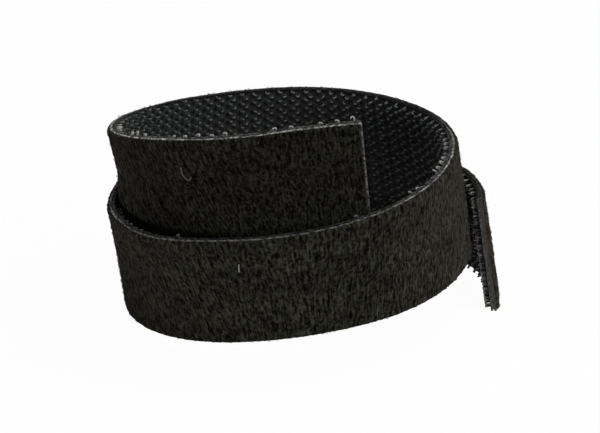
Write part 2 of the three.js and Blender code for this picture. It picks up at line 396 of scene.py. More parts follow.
# %% [markdown]
# The pile is brushed nylon: it takes nearly all light and gives back a little at a slant. Its
# colour is a near-black with fine lines, streaks and specks, where the nap lies this way or that,
# and broad worn patches. Its inner end is painted darker than the rest, as painted shade. The foot
# of the inner turn is painted paler, as painted light that lifts the shade under the outer turn's
# rim, most of all on the left, where the hooks hold it and the whole width is paler too. A picture
# of cloth could be wrapped round the band, but noise in the tape's own millimetres never repeats.

# %% Pile finish
LINES = dict(cells=(0.32, 4.0, 1.0), detail=1.0, fade=(0.44, 0.64))
STREAKS = dict(cells=(0.45, 1.6, 1.0), detail=3.0, fade=(0.42, 0.63))
SPECKS = dict(cells=(0.48, 0.62, 0.6), detail=3.0, fade=(0.43, 0.63))
WORN = dict(cells=(9.0, 6.0, 9.0), detail=2.0, fade=(0.35, 0.7))
LINE_SHARE, STREAK_SHARE, SPECK_SHARE = 0.25, 0.37, 0.38
# The second is the brightness left at the inner end under its painted shade.
LEAST_WORN, INNER_SHADE_LEVEL = 0.8, 0.68
INNER_SHADE_FADES = (50.0, 140.0)  # mm along the tape over which the painted shade of the inner end fades out
LIT_FOOT_UP = (-7.5, -1.0)  # mm up the width over which the painted light on the foot of the inner turn ends
PALE_INNER_TO = (60.0, 90.0)  # mm along the tape over which the paler stretch of the inner turn ends
HELD_FROM = (36.0, 54.0)  # mm along the tape over which the stretch begins that the outer turn holds
# Gains of the painted light on the foot, of more of it where the outer turn holds the pile, and of the
# paler whole width there.
FOOT_LIGHT_GAIN, HELD_FOOT_LIGHT_GAIN, HELD_PALE_GAIN = 0.6, 1.4, 0.35
TONE_CURVE = 1.25
PILE_BLACK, PILE_PALE = colour(0.0002, 0.0002, 0.0001), colour(0.064, 0.064, 0.049)
PILE_YARN = colour(0.06, 0.046, 0.035)
PILE_RELIEF = 0.08  # mm


def pile_finish():
    fixed = {"Roughness": 0.95, "Specular IOR Level": 0.0, "Sheen Weight": 0.045, "Sheen Roughness": 0.5,
             "Sheen Tint": colour(1.0, 0.86, 0.78)}
    material, blank, shader = finish("brushed_black_pile", fixed)
    place = tape_place(blank)
    length, width = coordinate(place, "X"), coordinate(place, "Y")
    line, streak, speck = (grain(place, **kind) for kind in (LINES, STREAKS, SPECKS))
    nap = line * LINE_SHARE + streak * STREAK_SHARE + speck * SPECK_SHARE
    inner = 1 - length.ramp(*PALE_INNER_TO)
    # Painted light: the foot of the inner turn is paler, to lift the shade under the outer turn's rim.
    lit_foot = inner * (1 - width.ramp(*LIT_FOOT_UP))
    held = inner * length.ramp(*HELD_FROM)
    worn = grain(place, **WORN).above(LEAST_WORN)
    # Painted shade: the inner end is darker than the rest of the tape.
    inner_shade = length.ramp(*INNER_SHADE_FADES).above(INNER_SHADE_LEVEL)
    gain = 1 + lit_foot * (FOOT_LIGHT_GAIN + HELD_FOOT_LIGHT_GAIN * held) + HELD_PALE_GAIN * held
    tone = nap * worn * inner_shade * gain
    black = (tone ** TONE_CURVE).mix(PILE_BLACK, PILE_PALE)
    plug(frayed(place, black, PILE_YARN), shader, "Base Color")
    relief(streak * 0.5 + speck * 0.5, shader, PILE_RELIEF)
    return material


PILE = pile_finish()
print("finish", PILE.name, len(PILE.node_tree.nodes), "nodes")

# %% [markdown]
# Single loops stand out of the pile and catch the light, some of them much more than others. An
# attribute named `tone` holds a chance value for each loop. Its third power leaves most loops
# nearly black and a few pale, which one even grey wouldn't do.

# %% Nap finish
NAP_WORN = dict(cells=(7.0, 5.0, 7.0), detail=2.0, fade=(0.35, 0.7))
LEAST_NAP = 0.7
NAP_BLACK, NAP_PALE = colour(0.002, 0.002, 0.002), colour(0.09, 0.088, 0.075)


def nap_finish():
    fixed = {"Roughness": 0.7, "Specular IOR Level": 0.05, "Sheen Weight": 0.05}
    material, blank, shader = finish("napped_loops", fixed)
    worn = grain(tape_place(blank), **NAP_WORN).above(LEAST_NAP)
    shade = (marked(blank, "tone") ** 3.0) * worn
    plug(shade.mix(NAP_BLACK, NAP_PALE), shader, "Base Color")
    return material


NAP = nap_finish()
print("finish", NAP.name, len(NAP.node_tree.nodes), "nodes")

# %% [markdown]
# Both grounds are plain woven nylon. Where the tape was slit, the yarn ends are bare and full of
# dust and show as a thin grey line along the edges, painted paler still where the rims catch the
# light, as painted light. An attribute named `edge` marks those places, and broken noise keeps the
# line from looking drawn. A second one named `shaded` marks the slit sides and the dips between the
# hooks, which are painted dark as shade and dirt. Painted masks could do the same, but marks that
# are worked out with the mesh stay right when a size changes.

# %% Ground finishes
WEAVE = 0.5  # mm from one weft yarn to the next
BROKEN = dict(cells=(0.7, 0.5, 0.5), detail=3.0, fade=(0.4, 0.6))
FUZZ = dict(cells=(0.16, 0.2, 0.2), detail=2.0)
LEAST_BARE, FUZZ_SHARE = 0.15, 0.4
# Painted shade, with dirt, for the slit sides and the dips between the hooks; soot is the dirt in the
# fuzz.
SHADED, SOOT = colour(0.003, 0.003, 0.003), colour(0.006, 0.006, 0.006)
GROUND_RELIEF = 0.06  # mm


def ground_finish(name, body, slit, yarn):
    material, blank, shader = finish(name, {"Roughness": 0.85, "Specular IOR Level": 0.03})
    place = tape_place(blank)
    broken, fuzz = grain(place, **BROKEN), grain(place, **FUZZ)
    # The pale edge line: bare yarn, and painted light where the rims catch it.
    bare_and_lit_line = marked(blank, "edge") * broken.above(LEAST_BARE)
    woven = bare_and_lit_line.mix(marked(blank, "shaded").mix(body, SHADED), slit)
    plug((fuzz * FUZZ_SHARE).mix(frayed(place, woven, yarn), SOOT), shader, "Base Color")
    weft = place.math("SINE", coordinate(place, "X") * (2 * math.pi / WEAVE))
    relief(weft * 0.25 + fuzz * 0.6 + 0.25, shader, GROUND_RELIEF)
    return material


LOOP_GROUND = ground_finish("loop_ground", body=colour(0.012, 0.012, 0.012),
                            slit=colour(0.75, 0.75, 0.72), yarn=colour(0.1, 0.09, 0.078))
HOOK_GROUND = ground_finish("hook_ground", body=colour(0.07, 0.075, 0.07),
                            slit=colour(0.16, 0.16, 0.155), yarn=colour(0.13, 0.13, 0.122))
print("finishes", LOOP_GROUND.name, HOOK_GROUND.name)

# %% [markdown]
# The film is dull hot-melt, a little cloudy. The hooks are bare nylon: painted dark at the root,
# as painted shade between the rows, and grey on the crook where they rub. Along pale edges and
# near the tail's cut they are whitish: partly scuffs, partly painted highlight. One colour for a
# whole hook would be simpler, but then the rows run together.

# %% Film and hook finishes
CLOUD = dict(cells=(2.0, 2.0, 2.0), detail=3.0)
HOOK_RUB = dict(cells=(3.0, 3.0, 3.0), detail=3.0, fade=(0.3, 0.7))
LEAST_RUB = 0.55
FILM_DARK, FILM_PALE = colour(0.012, 0.012, 0.014), colour(0.03, 0.03, 0.033)
# The root colour is painted shade between the rows; the crest is the rubbed crook.
HOOK_ROOT_SHADE, HOOK_CREST = colour(0.02, 0.022, 0.021), colour(0.095, 0.105, 0.102)
# Whitish nylon: partly scuffs, partly painted highlight.
HOOK_SCUFFED_AND_LIT = colour(0.4, 0.4, 0.38)


def film_finish():
    material, blank, shader = finish("bond_film", {"Specular IOR Level": 0.4})
    cloud = grain(tape_place(blank), **CLOUD)
    plug(cloud.mix(FILM_DARK, FILM_PALE), shader, "Base Color")
    plug(0.35 + 0.3 * cloud, shader, "Roughness")
    return material


def hook_finish():
    material, blank, shader = finish("hook_nylon", {"Specular IOR Level": 0.2})
    crook, place = marked(blank, "crook"), tape_place(blank)
    nylon = (crook * grain(place, **HOOK_RUB).above(LEAST_RUB)).mix(HOOK_ROOT_SHADE, HOOK_CREST)
    # Whitish crooks: partly scuffs, partly painted highlight.
    scuffed_and_lit = crook * marked(blank, "edge")
    plug(scuffed_and_lit.mix(nylon, HOOK_SCUFFED_AND_LIT), shader, "Base Color")
    plug(0.55 - 0.15 * crook, shader, "Roughness")
    return material


FILM, HOOKS = film_finish(), hook_finish()
print("finishes", FILM.name, HOOKS.name)

# %% [markdown]
# Meshes here are large but regular, so they are written straight into Blender's arrays rather
# than grown with operators. The helper takes points, faces of any size and the attributes that
# the finishes read.

# %% Write a mesh
SHARP = math.radians(50)
FLOOR_LIMIT = (-np.inf, -np.inf, 0)  # nothing reaches under the surface that the tape stands on


def tape_mesh(name, material, points, faces, **attributes):
    mesh = bpy.data.meshes.new(name)
    corners = np.concatenate([np.asarray(group).reshape(-1) for group in faces])
    sizes = np.concatenate([np.full(len(group), np.shape(group)[1]) for group in faces])
    mesh.vertices.add(len(points))
    mesh.vertices.foreach_set("co", np.maximum(points, FLOOR_LIMIT).astype(np.float32).ravel())
    mesh.loops.add(len(corners))
    mesh.loops.foreach_set("vertex_index", corners.astype(np.int32))
    mesh.polygons.add(len(sizes))
    mesh.polygons.foreach_set("loop_start", (np.cumsum(sizes) - sizes).astype(np.int32))
    mesh.update(calc_edges=True)
    for key, values in attributes.items():
        kind, field = ("FLOAT_VECTOR", "vector") if np.ndim(values) == 2 else ("FLOAT", "value")
        layer = mesh.attributes.new(key, kind, "POINT")
        layer.data.foreach_set(field, np.asarray(values, np.float32).ravel())
    mesh.polygons.foreach_set("use_smooth", np.ones(len(sizes), bool))
    mesh.set_sharp_from_angle(angle=SHARP)
    mesh.materials.append(material)
    piece = bpy.data.objects.new(name, mesh)
    bpy.context.scene.collection.objects.link(piece)
    return piece


print("faces turn sharp past", round(math.degrees(SHARP)), "degrees")

# %% [markdown]
# The tape is built in three stretches. The lead and the tail can bend, and the coil between
# them stays as it lies. The joints of the solid model bend in one line, but real tape bends over
# a length, so each end takes in its whole bend, and here it is baked in place where it lies. The
# seams lie on the coil's side of the bends, where nothing moves.

# %% Stretches of the tape
LEAD_BEND, TAIL_BEND = 10.0, 14.0
SEAM_MARGIN = 1.0
LEAD_SEAM = LEAD_REACH + LEAD_BEND / 2 + SEAM_MARGIN
TAIL_SEAM = TAPE_LENGTH - TAIL_REACH - TAIL_BEND / 2 - SEAM_MARGIN
STRETCHES = {"lead": (0.0, LEAD_SEAM), "coil": (LEAD_SEAM, TAIL_SEAM), "tail": (TAIL_SEAM, TAPE_LENGTH)}
# Joint, its place along the tape, the length of the bend, and which way along the tape the end lies.
BENDS = {"lead": ("lead_flex", LEAD_REACH, LEAD_BEND, -1),
         "tail": ("tail_peel", TAPE_LENGTH - TAIL_REACH, TAIL_BEND, 1)}


def fasten(piece, stretch):
    """The coil's pieces ride on the coil. The ends are baked in place where they lie."""
    if stretch == "coil":
        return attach(piece, "coil")
    joint, hinge_length, bend, away = BENDS[stretch]
    forward = station_at(hinge_length)[1]
    half_bend = forward * away * bend / 2 * MM
    pivot = np.array(JOINTS[joint]["pos_m"])
    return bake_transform(piece, "coil", stretch, tuple(pivot - half_bend), tuple(pivot + half_bend))


def rows_between(stretch, step):
    start, end = STRETCHES[stretch]
    return np.linspace(start, end, round((end - start) / step) + 1)


print({name: round(end - start, 1) for name, (start, end) in STRETCHES.items()})

# %% [markdown]
# Webs, film and pile are all the same kind of body: a closed outline, carried along the tape. The
# outline may change from row to row, which is how the woven relief and the pile's tufts get in.
# Its points run up the outer face and down the inner one. A swept curve would keep one outline
# throughout.

# %% Carry an outline along the tape
def carried(along, across, depth):
    """Points, quads and end faces of a closed outline, given as rows of across and depth."""
    rows = len(along)
    across, depth = (np.broadcast_to(v, (rows, np.shape(v)[-1])) for v in (across, depth))
    points = on_tape(along[:, None], across, depth)
    index = np.arange(points[..., 0].size).reshape(across.shape)
    after = np.roll(index, -1, axis=1)
    quads = np.stack([index[:-1], after[:-1], after[1:], index[1:]], axis=-1).reshape(-1, 4)
    faces = [quads, index[:1, ::-1], index[-1:]]
    flat = np.stack(np.broadcast_arrays(along[:, None], across, depth), axis=-1)
    return points.reshape(-1, 3), faces, flat.reshape(-1, 3)


def smooth(share):
    return share * share * (3 - 2 * share)


def lattice(seed, along, across, cell_along, cell_across):
    """Smooth random heights from -1 to 1 on cells over the flat tape, the same for every stretch."""
    cells = (int(TAPE_LENGTH / cell_along) + 4, int(2 * TAPE_WIDTH / cell_across) + 4)
    heights = np.random.default_rng(seed).uniform(-1, 1, cells)
    x = np.clip(along / cell_along + 1, 0, cells[0] - 1.001)
    y = np.clip((across + TAPE_WIDTH) / cell_across + 1, 0, cells[1] - 1.001)
    i, j = x.astype(int), y.astype(int)
    u, v = smooth(x - i), smooth(y - j)
    near = heights[i, j] * (1 - v) + heights[i, j + 1] * v
    far = heights[i + 1, j] * (1 - v) + heights[i + 1, j + 1] * v
    return near * (1 - u) + far * u


def graph(pairs, places):
    """Value at each place, on straight lines between pairs of a place and a value."""
    return np.interp(places, *zip(*pairs))


trial = lattice(1, np.arange(TAPE_LENGTH), np.zeros(int(TAPE_LENGTH) + 1), 2.5, 2.5)
print("lattice from", round(trial.min(), 2), "to", round(trial.max(), 2))

# %% [markdown]
# The pale line along the edges of the tape is not even: it is bare yarn where they are rubbed,
# and painted light where the rims catch it. It is pale where the edges stand free at the front
# and at the cut, and dark where another turn covers them. A list of places along the tape says
# how far, and the grounds and hooks all read it.

# %% Slit edges
EDGE_ROUNDING = 0.12  # mm
SCALLOP = 0.1  # mm by which the edge is drawn in between two turns of the weft
SCALLOP_WANDER = 0.6
CUT_LINE = 0.3  # mm of bare ground that shows at a cut end
LEAD_CUT = 0.4  # share of bare yarn in the lead's cut
SIDE_BARE = [0.3, 1, 1, 1, 1, 0.3]  # share of bare yarn round an edge, from face to face
# Millimetres along the tape, and how pale the edges are there: rubbed bare, and painted light.
RUBBED_AND_LIT = [(0, 0.55), (24, 0.6), (33, 0.9), (46, 1), (56, 0.4), (66, 0.08),
          (128, 0.08), (140, 0.5), (150, 0.75), (164, 0.5), (178, 0.2), (200, 0.25),
          (212, 0.5), (220, 0.9), (232, 1), (240, 0.1), (310, 0.06), (334, 0.1)]


def ground_side(along, outer, inner):
    """Upper edge of a band, from its outer face to its inner one: rounded, and scalloped by row."""
    wander = lattice(11, along, np.zeros_like(along), 3.0, 5.0)
    drawn_in = SCALLOP * (np.cos(math.pi * along / WEAVE) ** 2 + SCALLOP_WANDER * wander)
    inset = EDGE_ROUNDING * np.array([1, 0.3, 0, 0, 0.3, 1])
    depth = np.array([outer, outer, outer, inner, inner, inner])
    depth = depth + EDGE_ROUNDING * np.array([0, -0.3, -1, 1, 0.3, 0])
    return HALF_WIDTH - drawn_in[:, None] - inset, depth


def bare(along, at_side):
    """Share of pale yarn at each point: the lead's cut, and the edges as far as they are rubbed bare and
    painted lit.
    """
    rubbed = graph(RUBBED_AND_LIT, along)[:, None]
    fresh = LEAD_CUT * np.clip(1 - along / CUT_LINE, 0, 1)
    return np.maximum(at_side * rubbed, fresh[:, None]).ravel()


# Where the edge line is palest: rubbed bare, and painted light on the rims.
print("edges rubbed bare at", [place for place, share in RUBBED_AND_LIT if share == 1], "mm")

# %% [markdown]
# The loop ground is the woven band that carries the loops. Only its edges show, so that is
# where its shape goes: they are rounded, and scalloped because each weft yarn turns back there.
# Every yarn could be woven as a curve, but nobody would see them under the pile.

# %% Loop ground
GROUND_STEP = WEAVE / 2


def loop_ground(stretch):
    along = rows_between(stretch, GROUND_STEP)
    across, depth = ground_side(along, LOOP_FACE, FILM_FACE)
    across = np.concatenate([across, -across[:, ::-1]], axis=1)
    points, faces, flat = carried(along, across, np.concatenate([depth, depth[::-1]]))
    at_side = np.array(SIDE_BARE * 2)
    # Painted shade and dirt on the slit sides.
    shaded = np.broadcast_to(at_side, across.shape).ravel()
    piece = tape_mesh(f"{stretch}_loop_ground", LOOP_GROUND, points, faces, tape=flat,
                      edge=bare(along, at_side), shaded=shaded)
    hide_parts(f"{stretch}_loop_web")
    return fasten(piece, stretch)


grounds = {stretch: [loop_ground(stretch)] for stretch in STRETCHES}
print("loop grounds", [len(pieces[0].data.vertices) for pieces in grounds.values()], "vertices")

# %% [markdown]
# The bond film is a thin layer of hot-melt that holds the two tapes back to back. It stops a
# little short of the edges, so from the side it is a dark line between the two grounds. A dark
# stripe in the grounds' finish would look alike, but it wouldn't be a layer that can be lifted out.

# %% Bond film
FILM_MARGIN = 0.35
FILM_STEP, FILM_WANDER = 2.0, 0.15


def bond_film(stretch):
    along = rows_between(stretch, FILM_STEP)
    wander = lattice(21, along, np.zeros_like(along), 1.5, 5.0)[:, None]
    across = HALF_WIDTH - FILM_MARGIN + FILM_WANDER * wander
    across = np.concatenate([across, across, -across, -across], axis=1)
    depth = FILM_FACE * np.array([1, -1, -1, 1])
    points, faces, flat = carried(along, across, depth)
    piece = tape_mesh(f"{stretch}_film", FILM, points, faces, tape=flat)
    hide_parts(f"{stretch}_bond_film")
    return fasten(piece, stretch)


laid_on = {stretch: [bond_film(stretch)] for stretch in STRETCHES}
print("film edge at", HALF_WIDTH - FILM_MARGIN, "mm from the middle")

# %% [markdown]
# The pile is made in two parts. The first is its mass: a soft body with rounded shoulders, whose
# face is thrown into fine tufts that run up the width. On the left the hooks of the outer turn
# have caught it and pulled it out. A displacement modifier on a plain band would do too, but the
# tufts would then cross the seams differently on each stretch.

# %% Height of the pile
PILE_MASS = 0.5  # mm that the packed fibres stand above the ground
PILE_MARGIN, SHOULDER = 0.12, 0.55
TEASED = 0.8  # mm more where the fibres are pulled out
# Millimetres along the tape and up its width, and the share by which the fibres are pulled out there.
TEASED_ALONG = [(30, 0), (50, 1), (76, 1), (94, 0)]
TEASED_UP = [(-8.5, 0), (-5.5, 1), (-3.0, 1), (2.5, 0)]
STREAK_HEIGHT, TUFT_HEIGHT, PATCH_HEIGHT = 0.2, 0.12, 0.06  # shares of the pile's height


def rounded(distance, reach):
    """Height of a quarter-round shoulder, from 0 at the edge to 1 at its reach."""
    return np.sqrt(1 - np.clip(1 - distance / reach, 0, 1) ** 2)


def pile_height(along, across):
    """Height of the packed fibres above the ground, in mm."""
    edge = rounded(HALF_WIDTH - PILE_MARGIN - np.abs(across), SHOULDER)
    cut = rounded(np.minimum(along, TAPE_LENGTH - along) - CUT_LINE, SHOULDER)
    streak = lattice(31, along, across, 0.42, 1.7)
    tuft = lattice(32, along, across, 0.75, 0.6)
    patch = lattice(33, along, across, 7.0, 5.0)
    teased = TEASED * graph(TEASED_ALONG, along) * graph(TEASED_UP, across)
    uneven = 1 + STREAK_HEIGHT * streak + TUFT_HEIGHT * tuft + PATCH_HEIGHT * patch
    return (PILE_MASS + teased) * edge * cut * uneven


print("pile up to", PILE_MASS + TEASED, "mm high")

# %% Mass of the pile
PILE_STEP, PILE_COLUMNS = 0.25, 37
SUNK = 0.06  # mm that one layer reaches into the next, so that no light shows between
FINE = np.array([0.0, 0.05, 0.14, 0.3])  # mm in from an edge, where the shoulder curves most


def pile_mass(stretch):
    start, end = STRETCHES[stretch]
    low, high = CUT_LINE, TAPE_LENGTH - CUT_LINE
    rows = np.concatenate([rows_between(stretch, PILE_STEP), low + FINE, high - FINE])
    along = np.unique(np.clip(rows, max(start, low), min(end, high)))
    edge = HALF_WIDTH - PILE_MARGIN
    middle = np.linspace(-edge + SHOULDER, edge - SHOULDER, PILE_COLUMNS)
    face = np.concatenate([-edge + FINE, middle, (edge - FINE)[::-1]])
    height = LOOP_FACE + pile_height(along[:, None], face[None, :])
    back_face = np.full((len(along), 2), LOOP_FACE - SUNK)
    points, faces, flat = carried(along, np.append(face, [edge, -edge]), np.hstack([height, back_face]))
    piece = tape_mesh(f"{stretch}_pile", PILE, points, faces, tape=flat)
    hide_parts(f"{stretch}_loop_pile")
    return fasten(piece, stretch)


for stretch in STRETCHES:
    laid_on[stretch].append(pile_mass(stretch))
    print(laid_on[stretch][-1].name, len(laid_on[stretch][-1].data.polygons), "faces")

# %% [markdown]
# The second part is the nap: single fibres that arch out of the mass and catch the light. Each
# is a short bent tube. Hair particles could stand for them, but particles don't leave Blender as
# meshes, so all fibres of a stretch share one mesh.

# %% Bundles of small tubes
def tubes(paths, radius, sides, across):
    """Points and faces of closed tubes. paths is tube by step by xyz, across a direction per step."""
    count, steps = paths.shape[:2]
    run = unit(np.gradient(paths, axis=1))
    first = unit(across - run * (across * run).sum(axis=-1, keepdims=True))
    second = np.cross(run, first)
    angle = 2 * math.pi * np.arange(sides) / sides
    round_it = first[:, :, None] * np.cos(angle)[:, None] + second[:, :, None] * np.sin(angle)[:, None]
    points = paths[:, :, None] + round_it * np.broadcast_to(radius, (count, steps))[:, :, None, None]
    index = np.arange(count * steps * sides).reshape(count, steps, sides)
    after = np.roll(index, -1, axis=2)
    quads = np.stack([index[:, :-1], after[:, :-1], after[:, 1:], index[:, 1:]], axis=-1)
    return points.reshape(-1, 3), [quads.reshape(-1, 4), index[:, 0, ::-1], index[:, -1]]


def each_corner(values, sides):
    """Values given for each step of each tube, repeated for the corners round it."""
    return np.repeat(values.reshape(-1, *values.shape[2:]), sides, axis=0)


def columns(chosen, *lists):
    """The chosen values of each list as a column, ready to meet a row of steps."""
    return [values[chosen][:, None] for values in lists]


trial = np.array([[(0.0, 0.0, 0.0), (0.0, 0.0, 1.0), (0.0, 0.0, 2.0)]])
trial_faces = tubes(trial, 0.1, 5, np.array([1.0, 0.0, 0.0]))[1]
print("a tube of 3 steps and 5 sides has", sum(len(group) for group in trial_faces), "faces")

# %% Where the loops lie
NAP_PER_MM2 = 0.9
NAP_MARGIN = 0.45
NAP_AT_EDGES, EDGE_SCATTER = 0.25, 0.18  # share of the loops that lies over the edges, and mm from them
EDGE_TURN, FACE_TURN = 1.0, 0.55  # radians away from straight up the width
EDGE_SPAN, FACE_SPAN = (0.2, 0.5), (0.4, 1.0)
EDGE_RISE, FACE_RISE = 0.06, (0.1, 0.25)
NAP_BOW = 0.16

draw = np.random.default_rng(41)
nap_count = round(NAP_PER_MM2 * TAPE_LENGTH * TAPE_WIDTH)
nap_along = draw.uniform(CUT_LINE, TAPE_LENGTH - CUT_LINE, nap_count)
nap_across = draw.uniform(-HALF_WIDTH + NAP_MARGIN, HALF_WIDTH - NAP_MARGIN, nap_count)
at_edge = draw.uniform(0, 1, nap_count) < NAP_AT_EDGES
scatter = draw.exponential(EDGE_SCATTER, at_edge.sum())
nap_across[at_edge] = np.sign(nap_across[at_edge]) * (HALF_WIDTH - scatter)
nap_turn = draw.normal(0, np.where(at_edge, EDGE_TURN, FACE_TURN))
nap_span = np.where(at_edge, draw.uniform(*EDGE_SPAN, nap_count), draw.uniform(*FACE_SPAN, nap_count))
nap_rise = np.where(at_edge, EDGE_RISE, draw.uniform(*FACE_RISE, nap_count))
nap_bow = draw.normal(0, NAP_BOW, nap_count)
nap_tone = draw.uniform(0, 1, nap_count)
print("loops", nap_count, "of them at the edges", int(at_edge.sum()))

# %% Nap
NAP_RADIUS, NAP_SIDES, NAP_STEPS = 0.034, 3, 5


def nap(stretch):
    start, end = STRETCHES[stretch]
    chosen = (nap_along >= start) & (nap_along < end)
    foot, side, turn, span, rise, bend, pale = columns(
        chosen, nap_along, nap_across, nap_turn, nap_span, nap_rise, nap_bow, nap_tone)
    share = np.linspace(0, 1, NAP_STEPS)
    arch = np.sin(math.pi * share)
    reach, bow = (share - 0.5) * span, arch * bend
    along = foot + reach * np.sin(turn) + bow * np.cos(turn)
    across = side + reach * np.cos(turn) - bow * np.sin(turn)
    depth = LOOP_FACE + pile_height(along, across) - SUNK + arch * rise
    paths = on_tape(along, across, depth)
    outward = unit(on_tape(along, across, depth + 1) - paths)
    points, faces = tubes(paths, NAP_RADIUS * MM, NAP_SIDES, outward)
    flat = each_corner(np.stack([along, across, depth], axis=-1), NAP_SIDES)
    tone = each_corner(np.broadcast_to(pale, along.shape), NAP_SIDES)
    piece = tape_mesh(f"{stretch}_nap", NAP, points, faces, tape=flat, tone=tone)
    return fasten(piece, stretch)


for stretch in STRETCHES:
    laid_on[stretch].append(nap(stretch))
    print(laid_on[stretch][-1].name, len(laid_on[stretch][-1].data.polygons), "faces")

# %% [markdown]
# The hook ground is the woven band of the hook tape. It rises in a small bump where a hook is
# tied in and dips between, where it is painted dark as shade, which gives the lattice that shows
# on the back wall. The weft crosses it. All of this is in the mesh and not in a bump map, because
# the light that comes over the upper edge grazes it.

# %% Hook ground
HOOK_ROWS = 27
HOOK_MARGIN = 0.3  # mm from the tape's edge to its outermost row of hooks
ROW_PITCH = (TAPE_WIDTH - 2 * HOOK_MARGIN) / (HOOK_ROWS - 1)
HOOK_STEP = 2.3  # mm from one hook to the next in a row
BUMP, WEFT_RIDGE = 0.2, 0.03  # mm that the ground rises where a hook is tied in, and at a weft yarn
BUMP_COLUMNS = 2  # columns of the mesh for each row of hooks
HOOK_GROUND_STEP = WEAVE * 2 / 3


def tied_in(along, across):
    """1 where a hook stands, -1 half-way to its neighbours, in a lattice of staggered rows."""
    rows = (across + HALF_WIDTH - HOOK_MARGIN) / ROW_PITCH
    return np.cos(2 * math.pi * (along / HOOK_STEP - 0.5)) * np.cos(math.pi * rows)


def hook_ground(stretch):
    along = rows_between(stretch, HOOK_GROUND_STEP)
    side, side_depth = ground_side(along, -FILM_FACE, -ROOT_FACE)
    count = BUMP_COLUMNS * HOOK_ROWS
    column = np.linspace(1, -1, count + 1)[1:-1] * (HALF_WIDTH - 2 * EDGE_ROUNDING)
    dip = 0.5 - 0.5 * tied_in(along[:, None], column)
    weft = np.cos(2 * math.pi * along / (2 * WEAVE))[:, None]
    face = -ROOT_FACE + BUMP * dip + WEFT_RIDGE * weft
    column = np.broadcast_to(column, face.shape)
    ends, slit = np.broadcast_to(side_depth, side.shape), np.ones(side.shape)
    across = np.concatenate([side, column, -side[:, ::-1]], axis=1)
    depth = np.concatenate([ends, face, ends[:, ::-1]], axis=1)
    points, faces, flat = carried(along, across, depth)
    at_side = np.concatenate([SIDE_BARE, np.zeros(count - 1), SIDE_BARE])
    # Painted shade and dirt on the slit sides, and painted shade in the dips between the hooks.
    shaded = np.concatenate([slit, dip, slit], axis=1).ravel()
    piece = tape_mesh(f"{stretch}_hook_ground", HOOK_GROUND, points, faces, tape=flat,
                      edge=bare(along, at_side), shaded=shaded)
    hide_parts(f"{stretch}_hook_web")
    return fasten(piece, stretch)


for stretch in STRETCHES:
    grounds[stretch].append(hook_ground(stretch))
    print(grounds[stretch][1].name, len(grounds[stretch][1].data.polygons), "faces")

# %% [markdown]
# The hooks are what the object is about. Each is a nylon filament that stands up from its row and
# bends over into a crook. Neighbouring rows face opposite ways and are half a step apart. Along
# the slit edges some were cut away and some are pressed over the edge, and the cut of the tail
# has pushed more of them together. An array modifier would repeat one hook, but real hooks
# differ: each gets its own place, height, lean and turn, and a chance of being gone.

# %% Where the hooks stand
CROWD, CROWDED = 90, (0.5, 3.0)  # hooks pushed together at the tail's cut, and their mm from it
MISSED_ALONG, MISSED_ACROSS = 0.07, 0.06  # mm by which hooks miss their places
SCALE_SPREAD, SCALE_LIMITS = 0.05, (0.85, 1.08)
LEAN_SPREAD, YAW_SPREAD = 0.09, 0.22

draw = np.random.default_rng(51)
row, step = np.meshgrid(np.arange(HOOK_ROWS), np.arange(int(TAPE_LENGTH / HOOK_STEP)), indexing="ij")
hook_along = (step + 0.5 + 0.5 * (row % 2)) * HOOK_STEP
hook_along = np.append(hook_along, TAPE_LENGTH - draw.uniform(*CROWDED, CROWD))
row = np.append(row, draw.uniform(0, HOOK_ROWS - 1, CROWD))
hook_heading = np.where(row % 2 < 1, 1.0, -1.0)
hook_along += draw.normal(0, MISSED_ALONG, row.size)
hook_across = -HALF_WIDTH + HOOK_MARGIN + row * ROW_PITCH + draw.normal(0, MISSED_ACROSS, row.size)
hook_scale = draw.normal(1, SCALE_SPREAD, row.size).clip(*SCALE_LIMITS)
hook_lean = draw.normal(0, LEAN_SPREAD, row.size)
hook_yaw = draw.normal(0, YAW_SPREAD, row.size)
print("places for hooks", row.size)

# %% Worn hooks
EDGE_SPLAYED, SPLAY = 0.3, (0.3, 0.8)  # share of a rubbed edge's hooks that lies over it, and how far
FACE_KEPT = 0.985  # share of the hooks that is left away from the edges
# Millimetres along the tape, and the share of the outermost rows that is left there.
EDGE_KEPT = [(0, 0.5), (46, 0.6), (56, 1), (130, 1), (140, 0.8), (164, 0.5), (176, 0.06), (248, 0.06),
             (262, 1)]
CUT_MARGINS = (0.5, 0.3)  # mm at the lead's and the tail's cut without a hook
PALE_HOOKS_FROM = (0.3, 0.6)  # how pale an edge is, rubbed and painted lit, where its hooks begin to pale, and where all are
PALE_HOOK_ROWS = 2  # rows in from the edge over which the hooks are paler: worn, and painted highlight
TAIL_SCUFFED_AND_LIT, PALE_HOOK_REACH = 0.8, 14.0  # most that a hook is paler near the tail's cut, worn and painted highlight, and mm from it

outermost = (row == 0) | (row == HOOK_ROWS - 1)
# How pale each hook's edge is: rubbed bare, and painted light on the rims.
hook_rubbed_and_lit = graph(RUBBED_AND_LIT, hook_along)
splayed = outermost & (draw.uniform(0, 1, row.size) < EDGE_SPLAYED * hook_rubbed_and_lit)
hook_lean[splayed] = np.sign(hook_across[splayed]) * draw.uniform(*SPLAY, splayed.sum())
kept_share = np.where(outermost, graph(EDGE_KEPT, hook_along), FACE_KEPT)
hook_kept = draw.uniform(0, 1, row.size) < kept_share
hook_kept &= (hook_along > CUT_MARGINS[0]) & (hook_along < TAPE_LENGTH - CUT_MARGINS[1])
rows_in = np.minimum(row, HOOK_ROWS - 1 - row)
